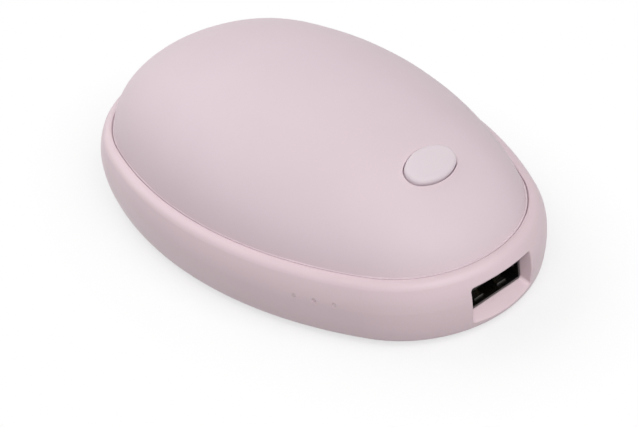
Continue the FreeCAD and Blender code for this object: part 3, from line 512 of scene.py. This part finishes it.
@dataclass(frozen=True)
class Etched(Finish):
    """Tinted film over an etched heating track that runs to and fro.

    Attributes:
        pitch: from one run of the track to the next.
    """

    low: float = 0.42
    high: float = 0.58
    smooth: float = 0.22
    rough: float = 0.36
    grain: float = 0.8 * MM
    depth: float = 0.02 * MM
    pitch: float = 2.4 * MM

    def mix(self, recipe: Recipe) -> None:
        """Bands for the track, which also stand a little proud.

        Args:
            recipe: the material to fill.
        """
        track = recipe.bands(self.pitch, Axis.Y)
        self.tint(recipe, track)
        self.polish(recipe, recipe.noise(self.grain, self.layers))
        recipe.relief(track, self.depth)


@dataclass(frozen=True)
class Foamed(Finish):
    """Closed-cell foam tape, with the grain as its pores."""

    low: float = 0.1
    high: float = 0.6
    smooth: float = 0.85
    rough: float = 0.7
    grain: float = 0.5 * MM
    depth: float = 0.08 * MM

    def mix(self, recipe: Recipe) -> None:
        """Pores for the colour, the gloss and the relief.

        Args:
            recipe: the material to fill.
        """
        pores = recipe.cells(self.grain).outputs["Distance"]
        self.tint(recipe, pores)
        self.polish(recipe, pores)
        recipe.relief(pores, self.depth)


@dataclass(frozen=True)
class LeadPair(Finish):
    """Insulated leads, one colour on each side of the middle.

    Attributes:
        middle: where along Y the colour changes.
    """

    low: float = 0.4
    high: float = 0.6
    smooth: float = 0.36
    rough: float = 0.52
    grain: float = 0.25 * MM
    depth: float = 0.006 * MM
    middle: float = 0.0

    def mix(self, recipe: Recipe) -> None:
        """The side picks the colour, a fine noise the gloss and the relief.

        Args:
            recipe: the material to fill.
        """
        skin = recipe.noise(self.grain, self.layers)
        self.tint(recipe, recipe.past(Axis.Y, self.middle))
        self.polish(recipe, skin)
        recipe.relief(skin, self.depth)


@dataclass(frozen=True)
class Clear(Finish):
    """Milky clear plastic of a light guide.

    Attributes:
        through: share of the light that goes through.
        bend: index of refraction.
    """

    smooth: float = 0.18
    rough: float = 0.3
    grain: float = 0.6 * MM
    through: float = 0.35
    bend: float = 1.49

    def mix(self, recipe: Recipe) -> None:
        """A faint cloud for the colour and the gloss, part of the light let through.

        Args:
            recipe: the material to fill.
        """
        cloud = recipe.noise(self.grain, self.layers)
        self.tint(recipe, cloud)
        self.polish(recipe, cloud)
        recipe.fix(Transmission_Weight=self.through, IOR=self.bend)


@dataclass(frozen=True)
class Sleeved(Finish):
    """A can whose top is bare metal inside a plain sleeve.

    Attributes:
        top: height from which the metal is bare.
    """

    low: float = 0.4
    high: float = 0.6
    smooth: float = 0.25
    grain: float = 0.15 * MM
    top: float = 9.6 * MM

    def mix(self, recipe: Recipe) -> None:
        """Height picks bare metal or sleeve, a fine grain the gloss and the relief.

        Args:
            recipe: the material to fill.
        """
        bare = recipe.past(Axis.Z, self.top)
        grain = recipe.noise(self.grain, self.layers)
        self.tint(recipe, bare)
        self.polish(recipe, grain)
        recipe.link(bare, recipe.shader.inputs["Metallic"])
        recipe.relief(grain, self.depth)


DOME_PLASTIC = Moulded(
    "dome_plastic", pale=(0.757, 0.624, 0.672), deep=(0.737, 0.606, 0.654), shine=0.4, sheen=0.05
)
BAND_PLASTIC = Moulded(
    "band_plastic", pale=(0.760, 0.605, 0.648), deep=(0.740, 0.588, 0.631), smooth=0.34, rough=0.44
)
BUTTON_PLASTIC = Moulded("button_plastic", pale=(0.775, 0.680, 0.722), deep=(0.755, 0.660, 0.702))
TRAY_PLASTIC = Moulded("tray_plastic", pale=(0.62, 0.61, 0.58), deep=(0.57, 0.56, 0.53))
BLACK_PLASTIC = Moulded(
    "black_plastic", pale=(0.018, 0.018, 0.019), deep=(0.011, 0.011, 0.012), smooth=0.4, rough=0.52
)
OUTLET_BLACK = Moulded(
    "outlet_black", pale=(0.034, 0.033, 0.031), deep=(0.020, 0.019, 0.018), smooth=0.5, rough=0.7, shine=0.25
)
FERRITE = Moulded("ferrite", pale=(0.05, 0.05, 0.052), deep=(0.028, 0.028, 0.03), smooth=0.55, rough=0.75)
PLATED_SHEET = Plated("plated_sheet", pale=(0.56, 0.55, 0.54), deep=(0.42, 0.41, 0.41), way=Axis.X)
# Painted shade: the outlet's shell and springs are plated metal made much darker than plated metal is, to
# stand in for the shade inside the port
OUTLET_SHELL_PAINTED_SHADE = Plated("outlet_shell", pale=(0.16, 0.156, 0.154), deep=(0.10, 0.098, 0.097), way=Axis.X)
OUTLET_SPRING_PAINTED_SHADE = Plated("outlet_spring", pale=(0.26, 0.255, 0.245), deep=(0.17, 0.167, 0.162), way=Axis.X)
GILT_CONTACT = Plated("gilt_contact", pale=(0.83, 0.62, 0.28), deep=(0.70, 0.49, 0.19), way=Axis.X)
SCREW_STEEL = Plated("screw_steel", pale=(0.54, 0.54, 0.55), deep=(0.38, 0.38, 0.39))
CELL_TAB = Plated("cell_tab", pale=(0.66, 0.65, 0.62), deep=(0.54, 0.53, 0.50), way=Axis.Y)
BARE_FOIL = Plated("bare_foil", pale=(0.80, 0.80, 0.81), deep=(0.66, 0.66, 0.67), way=Axis.X)
CELL_FOIL = Crinkled("cell_foil", pale=(0.62, 0.63, 0.65), deep=(0.50, 0.51, 0.53))
BOARD_LAMINATE = Lacquered("board_laminate", pale=(0.035, 0.16, 0.062), deep=(0.012, 0.085, 0.034))
FILM_AMBER = Etched("film_amber", pale=(0.50, 0.19, 0.025), deep=(0.36, 0.11, 0.012))
TAPE_FOAM = Foamed("tape_foam", pale=(0.70, 0.67, 0.46), deep=(0.55, 0.52, 0.34))
LEAD_PAIR = LeadPair("lead_pair", pale=(0.33, 0.010, 0.008), deep=(0.008, 0.008, 0.009))
LAMP_LENS = Clear("lamp_lens", pale=(0.80, 0.65, 0.69), deep=(0.75, 0.60, 0.64), through=0.1)
LAMP_CHIP = Clear("lamp_chip", pale=(0.84, 0.82, 0.70), deep=(0.76, 0.73, 0.58), through=0.15)
CAN_METAL = Sleeved("can_metal", pale=(0.72, 0.72, 0.73), deep=(0.02, 0.03, 0.06))
SENSOR_BEAD = Moulded(
    "sensor_bead", pale=(0.06, 0.055, 0.05), deep=(0.03, 0.028, 0.026), smooth=0.2, rough=0.3
)


@dataclass(frozen=True)
class Leaf:
    """A bowed, tapering strip of springy sheet metal.

    Attributes:
        length: from its root to its tip.
        width: its width at the root.
        sheet: thickness of the metal.
        bow: how far it stands off at most.
        taper: how much narrower the tip is, as a share of the width.
        lean: 1 for a bow in the middle, more for one nearer the tip.
        steps: how many flat lengths make the bow.
    """

    length: float
    width: float
    sheet: float
    bow: float
    taper: float = 0.25
    lean: float = 1.4
    steps: int = 14

    def section(self, share: float) -> tuple[float, float]:
        """How wide the strip is and how far it stands off, at a share of its length.

        Args:
            share: 0 at its root, 1 at its tip.

        Returns:
            The half width and the rise.
        """
        half = self.width * (1.0 - self.taper * share) / 2
        return half, self.bow * math.sin(math.pi * share ** self.lean)

    def lay(self, mesh: bmesh.types.BMesh, root: Vector, along: Vector, off: Vector) -> None:
        """Adds the strip to a mesh.

        Args:
            mesh: the mesh that gets it.
            root: middle of its root, on the wall that carries it.
            along: the way that it runs, of length 1.
            off: the way that it bows, away from the wall, of length 1.
        """
        across = off.cross(along)
        last: list[bmesh.types.BMVert] = []
        for step in range(self.steps + 1):
            share = step / self.steps
            half, rise = self.section(share)
            spine = root + along * (self.length * share) + off * rise
            corners = [(-half, 0.0), (half, 0.0), (half, self.sheet), (-half, self.sheet)]
            ring = [mesh.verts.new(spine + across * side + off * height) for side, height in corners]
            if last:
                for one in range(len(ring)):
                    two = (one + 1) % len(ring)
                    mesh.faces.new((last[one], last[two], ring[two], ring[one]))
            else:
                mesh.faces.new(ring[::-1])
            last = ring
        mesh.faces.new(last)


@dataclass
class Assembly:
    """Several pieces that belong together.

    Attributes:
        finishes: the finish of each piece, by the piece's name.
        edge: width of the soft edges of its own meshes.
        edge_steps: how many faces such an edge has.
    """

    finishes: ClassVar[dict[str, Finish]] = {}
    edge: ClassVar[float] = 0.05 * MM
    edge_steps: ClassVar[int] = 2

    def build(self) -> dict[str, bpy.types.Object]:
        """The assembly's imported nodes. An assembly with meshes of its own adds them.

        Returns:
            The pieces by name.
        """
        return {name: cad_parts[name] for name in self.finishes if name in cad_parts}

    def piece(self, name: str, mesh: bmesh.types.BMesh, slot: Slot) -> bpy.types.Object:
        """Turns a mesh into a soft-edged piece of the housing.

        Args:
            name: name of the piece.
            mesh: its faces, which are used up.
            slot: slot of the record that its finish belongs to; not used.

        Returns:
            The piece.
        """
        bmesh.ops.recalc_face_normals(mesh, faces=mesh.faces)
        data = bpy.data.meshes.new(name)
        mesh.to_mesh(data)
        mesh.free()
        piece = bpy.data.objects.new(name, data)
        bpy.context.scene.collection.objects.link(piece)
        bevel = piece.modifiers.new("soft_edge", "BEVEL")
        bevel.width = self.edge
        bevel.segments = self.edge_steps
        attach(piece, Body.HOUSING.value)
        return piece

    def dress(self) -> list[str]:
        """Builds the pieces and gives each its material.

        Returns:
            The names of the pieces.
        """
        pieces = self.build()
        for name, piece in pieces.items():
            piece.data.materials.clear()
            piece.data.materials.append(self.finishes[name].material())
        return list(pieces)


@dataclass
class Shell(Assembly):
    """The mouldings that the hand holds."""

    finishes: ClassVar[dict[str, Finish]] = {
        "upper_dome": DOME_PLASTIC,
        "middle_band": BAND_PLASTIC,
        "base_cover": BAND_PLASTIC,
    }


@dataclass
class Button(Assembly):
    """The press button and the switch under it."""

    finishes: ClassVar[dict[str, Finish]] = {
        "power_button": BUTTON_PLASTIC,
        "switch_plunger": BLACK_PLASTIC,
        "switch_body": PLATED_SHEET,
        "switch_board": BOARD_LAMINATE,
        "switch_screws": SCREW_STEEL,
        "switch_leads": LEAD_PAIR,
    }


@dataclass
class Outlet(Assembly):
    """The outlet in the front wall: its shell with springs, and a tongue with four contacts.

    Attributes:
        wall: thickness of the shell.
        setback: from the shell's mouth to the roots of the springs.
        spring_apart: from one spring of a pair to the other.
        floor_spring: each spring on the shell's floor.
        roof_spring: each spring on its roof.
        side_spring: the spring on each of its sides.
        count: how many contacts there are.
        contact: each contact.
    """

    finishes: ClassVar[dict[str, Finish]] = {
        # The shell's and the springs' finishes carry painted shade for the inside of the port
        "usb_shell": OUTLET_SHELL_PAINTED_SHADE,
        "usb_tongue": OUTLET_BLACK,
        "outlet_springs": OUTLET_SPRING_PAINTED_SHADE,
        "outlet_contacts": GILT_CONTACT,
    }
    wall: float = 0.35 * MM
    setback: float = 1.2 * MM
    spring_apart: float = 5.8 * MM
    floor_spring: Leaf = Leaf(length=6.2 * MM, width=2.2 * MM, sheet=0.25 * MM, bow=0.7 * MM)
    roof_spring: Leaf = Leaf(length=6.2 * MM, width=2.2 * MM, sheet=0.2 * MM, bow=0.3 * MM)
    side_spring: Leaf = Leaf(length=5.4 * MM, width=1.6 * MM, sheet=0.2 * MM, bow=0.35 * MM)
    count: int = 4
    contact: Leaf = Leaf(length=8.0 * MM, width=1.1 * MM, sheet=0.25 * MM, bow=0.35 * MM, taper=0.1)

    def build(self) -> dict[str, bpy.types.Object]:
        """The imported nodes, the shell's springs and the bowed contacts.

        Returns:
            The pieces by name.
        """
        return super().build() | {"outlet_springs": self.springs(), "outlet_contacts": self.contacts()}

    def springs(self) -> bpy.types.Object:
        """Two springs on the shell's floor, two on its roof and one on each side, rooted at its mouth.

        Returns:
            The springs as one piece.
        """
        low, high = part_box("usb_shell")
        middle = (low + high) / 2
        root = high.x - self.setback
        inward, up, left = Vector((-1, 0, 0)), Vector((0, 0, 1)), Vector((0, 1, 0))
        mesh = bmesh.new()
        for side in (-1, 1):
            across = middle.y + side * self.spring_apart / 2
            self.floor_spring.lay(mesh, Vector((root, across, low.z + self.wall)), inward, up)
            self.roof_spring.lay(mesh, Vector((root, across, high.z - self.wall)), inward, -up)
            edge = middle.y + side * ((high.y - low.y) / 2 - self.wall)
            self.side_spring.lay(mesh, Vector((root, edge, middle.z)), inward, left * -side)
        return self.piece("outlet_springs", mesh, Slot.SHEET)

    def contacts(self) -> bpy.types.Object:
        """Four bowed contacts under the tongue, in place of the plain strips.

        Returns:
            The contacts as one piece.
        """
        low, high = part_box("usb_contacts")
        pitch = (high.y - low.y - self.contact.width) / (self.count - 1)
        mesh = bmesh.new()
        for step in range(self.count):
            root = Vector((low.x, low.y + self.contact.width / 2 + step * pitch, high.z))
            self.contact.lay(mesh, root, Vector((1, 0, 0)), Vector((0, 0, -1)))
        piece = self.piece("outlet_contacts", mesh, Slot.CONTACT)
        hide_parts("usb_contacts")
        return piece


@dataclass
class Inlet(Assembly):
    """The charging inlet in the far wall: its shell, and a tongue with five contacts.

    Attributes:
        blade: thickness of the tongue where the contacts lie.
        setback: from the tongue's end to the contacts.
        count: how many contacts there are.
        pitch: from one contact to the next.
        contact: each contact.
    """

    finishes: ClassVar[dict[str, Finish]] = {
        "inlet_shell": PLATED_SHEET,
        "inlet_tongue": BLACK_PLASTIC,
        "inlet_contacts": GILT_CONTACT,
    }
    blade: float = 0.6 * MM
    setback: float = 0.4 * MM
    count: int = 5
    pitch: float = 0.65 * MM
    contact: Leaf = Leaf(length=3.4 * MM, width=0.34 * MM, sheet=0.12 * MM, bow=0.12 * MM, taper=0.0)

    def build(self) -> dict[str, bpy.types.Object]:
        """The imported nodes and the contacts.

        Returns:
            The pieces by name.
        """
        return super().build() | {"inlet_contacts": self.contacts()}

    def contacts(self) -> bpy.types.Object:
        """Five contacts under the tongue.

        Returns:
            The contacts as one piece.
        """
        low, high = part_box("inlet_tongue")
        middle = (low + high) / 2
        mesh = bmesh.new()
        for step in range(self.count):
            across = middle.x + (step - (self.count - 1) / 2) * self.pitch
            root = Vector((across, high.y - self.setback - self.contact.length, middle.z - self.blade / 2))
            self.contact.lay(mesh, root, Vector((0, 1, 0)), Vector((0, 0, -1)))
        return self.piece("inlet_contacts", mesh, Slot.CONTACT)


@dataclass
class Lamps(Assembly):
    """The three lamps and the guide that brings their light to the wall."""

    finishes: ClassVar[dict[str, Finish]] = {
        "light_guide": LAMP_LENS,
        "indicator_lamps": LAMP_CHIP,
    }


@dataclass
class Circuit(Assembly):
    """The main board and what stands on it."""

    finishes: ClassVar[dict[str, Finish]] = {
        "main_board": BOARD_LAMINATE,
        "board_screws": SCREW_STEEL,
        "boost_coil": FERRITE,
        "power_chip": BLACK_PLASTIC,
        "capacitors": CAN_METAL,
    }


@dataclass
class CellPack(Assembly):
    """The two cells in their tray, with their guard board."""

    finishes: ClassVar[dict[str, Finish]] = {
        "cell_tray": TRAY_PLASTIC,
        "tray_screws": SCREW_STEEL,
        "lower_cell": CELL_FOIL,
        "cell_tape": TAPE_FOAM,
        "upper_cell": CELL_FOIL,
        "cell_tabs": CELL_TAB,
        "guard_board": BOARD_LAMINATE,
        "cell_leads": LEAD_PAIR,
    }


@dataclass
class Warming(Assembly):
    """The warming films, the foil that spreads their heat and the sensor."""

    finishes: ClassVar[dict[str, Finish]] = {
        "spreader_foil": BARE_FOIL,
        "upper_heater": FILM_AMBER,
        "lower_heater": FILM_AMBER,
        "upper_heater_leads": LEAD_PAIR,
        "lower_heater_leads": LEAD_PAIR,
        "heat_sensor": SENSOR_BEAD,
        "dome_screws": SCREW_STEEL,
    }


@dataclass
class Viewpoint:
    """The camera, where the picture was taken from.

    Attributes:
        azimuth: how far it stands round from the near side towards the front, in degrees.
        elevation: how far it looks down, in degrees.
        roll: how far it is turned about its own line of sight, in degrees.
        distance: from the point that it looks at.
        aim_height: height of that point over the resting face.
        focal_pixels: focal length in pixels of the picture.
        middle: where that point lies in the picture, in pixels.
        sensor: width of the sensor in millimetres.
    """

    azimuth: float = 53.61
    elevation: float = 34.89
    roll: float = -8.13
    distance: float = 413.5 * MM
    aim_height: float = 7.437 * MM
    focal_pixels: float = 2076.04
    middle: tuple[float, float] = (317.98, 181.14)
    sensor: float = 36.0

    def build(self) -> bpy.types.Object:
        """Makes the camera and hands it to the scene.

        Returns:
            The camera.
        """
        turn, rise, roll = map(math.radians, (self.azimuth, self.elevation, self.roll))
        back = Vector((math.sin(turn) * math.cos(rise), -math.cos(turn) * math.cos(rise), math.sin(rise)))
        level = Vector((math.cos(turn), math.sin(turn), 0.0))
        upright = back.cross(level)
        right = level * math.cos(roll) + upright * math.sin(roll)
        above = upright * math.cos(roll) - level * math.sin(roll)
        data = bpy.data.cameras.new("picture")
        data.sensor_width = self.sensor
        data.lens = self.focal_pixels * self.sensor / PICTURE[0]
        data.shift_x = (PICTURE[0] / 2 - self.middle[0]) / PICTURE[0]
        data.shift_y = (self.middle[1] - PICTURE[1] / 2) / PICTURE[0]
        camera = bpy.data.objects.new("picture", data)
        bpy.context.scene.collection.objects.link(camera)
        spot = Vector((0.0, 0.0, self.aim_height)) + back * self.distance
        camera.matrix_world = Matrix.Translation(spot) @ Matrix((right, above, back)).transposed().to_4x4()
        bpy.context.scene.camera = camera
        return camera


@dataclass
class Lamp:
    """A soft square lamp that looks at the object.

    Attributes:
        name: name of the lamp.
        spot: where it stands, in metres.
        power: its power in watts.
        side: length of its sides in metres.
    """

    name: str
    spot: tuple[float, float, float]
    power: float
    side: float = 1.2

    def build(self) -> bpy.types.Object:
        """Makes the lamp.

        Returns:
            The lamp.
        """
        data = bpy.data.lights.new(self.name, "AREA")
        data.size = self.side
        data.energy = self.power
        lamp = bpy.data.objects.new(self.name, data)
        bpy.context.scene.collection.objects.link(lamp)
        lamp.location = self.spot
        lamp.rotation_mode = "QUATERNION"
        lamp.rotation_quaternion = Vector(self.spot).to_track_quat("Z", "Y")
        return lamp


@dataclass
class Studio:
    """White floor, white surroundings and soft lamps.

    Attributes:
        reach: from the object to the floor's edges, in metres.
        hair: from the resting face down to the floor, so that their faces don't share a plane.
        ambient: level of the light from all round.
        paper: colour of the floor to the camera.
        bounce: colour of the floor to the light that it throws back.
        matt: roughness of the floor.
        shadow: share of the shadow that shows.
        shadow_full: up to where all of it shows, in half lengths and half widths of the object.
        shadow_gone: from where none of it shows, in the same measure.
        lamps: the lamps.
    """

    reach: float = 6.0
    hair: float = 0.05 * MM
    ambient: float = 0.2
    paper: Colour = (0.97, 0.97, 0.97)
    bounce: Colour = (0.5, 0.5, 0.5)
    matt: float = 0.9
    shadow: float = 0.36
    shadow_full: float = 1.0
    shadow_gone: float = 1.5
    lamps: tuple[Lamp, ...] = (
        Lamp("front_lamp", (0.9, 0.0, 0.95), 10.0),
        Lamp("near_lamp", (0.6, -0.5, 1.05), 4.5),
        Lamp("side_lamp", (-0.8, -0.8, 0.6), 2.5),
        Lamp("back_lamp", (-1.1, -0.1, 0.7), 6.8),
    )

    def floor(self) -> bpy.types.Object:
        """A wide floor under the object, white to the camera but for the object's soft shadow.

        Returns:
            The floor.
        """
        mesh = bpy.data.meshes.new("floor")
        wide = self.reach
        level = CAD_BOX[0].z - self.hair
        corners = [(-wide, -wide, level), (wide, -wide, level), (wide, wide, level), (-wide, wide, level)]
        mesh.from_pydata(corners, [], [range(len(corners))])
        floor = bpy.data.objects.new("floor", mesh)
        bpy.context.scene.collection.objects.link(floor)
        mesh.materials.append(self.sheet())
        return floor

    def sheet(self) -> bpy.types.Material:
        """White paper that keeps a shadow near the object and is plain white further off.

        Returns:
            The material.
        """
        recipe = Recipe("studio_floor")
        seen = recipe.seen()
        recipe.paint(recipe.ramp(seen, (0.0, self.bounce), (1.0, self.paper)))
        recipe.fix(Roughness=self.matt, Specular_IOR_Level=0.0)
        half = (CAD_BOX[1] - CAD_BOX[0]) / 2
        oval = recipe.add("ShaderNodeMapping")
        oval.inputs["Scale"].default_value = (1.0 / half.x, 1.0 / half.y, 0.0)
        recipe.link(recipe.place, oval.inputs["Vector"])
        away = recipe.add("ShaderNodeVectorMath")
        away.operation = "LENGTH"
        recipe.link(oval.outputs["Vector"], away.inputs[0])
        span = (self.shadow_full, self.shadow_gone)
        plain = recipe.spread(away.outputs["Value"], 1.0 - self.shadow, 1.0, span)
        glow = recipe.add("ShaderNodeEmission")
        blend = recipe.add("ShaderNodeMixShader")
        recipe.link(recipe.reckon(Arithmetic.PRODUCT, seen, plain), blend.inputs["Fac"])
        recipe.link(recipe.shader.outputs["BSDF"], blend.inputs[1])
        recipe.link(glow.outputs["Emission"], blend.inputs[2])
        recipe.link(blend.outputs["Shader"], recipe.output.inputs["Surface"])
        return recipe.material

    def surroundings(self) -> None:
        """White all round to the camera, a plain level of light to everything else."""
        world = bpy.data.worlds.new("studio")
        bpy.context.scene.world = world
        network = Network(world)
        backdrop = network.add("ShaderNodeBackground")
        output = network.add("ShaderNodeOutputWorld")
        network.link(network.spread(network.seen(), self.ambient, 1.0), backdrop.inputs["Strength"])
        backdrop.inputs["Color"].default_value = (1.0, 1.0, 1.0, 1.0)
        network.link(backdrop.outputs["Background"], output.inputs["Surface"])

    def build(self) -> None:
        """Puts up the floor, the surroundings and the lamps."""
        bpy.context.scene.view_settings.view_transform = "Standard"
        self.floor()
        self.surroundings()
        for lamp in self.lamps:
            lamp.build()


def main() -> None:
    """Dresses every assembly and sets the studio."""
    logging.basicConfig(level=logging.INFO, format="%(message)s")
    Viewpoint().build()
    for assembly in (Shell(), Button(), Outlet(), Inlet(), Lamps(), Circuit(), CellPack(), Warming()):
        for name in assembly.dress():
            LOG.info("%s: %s", name, assembly.finishes[name].name)
    Studio().build()


if __name__ == "__main__":
    main()
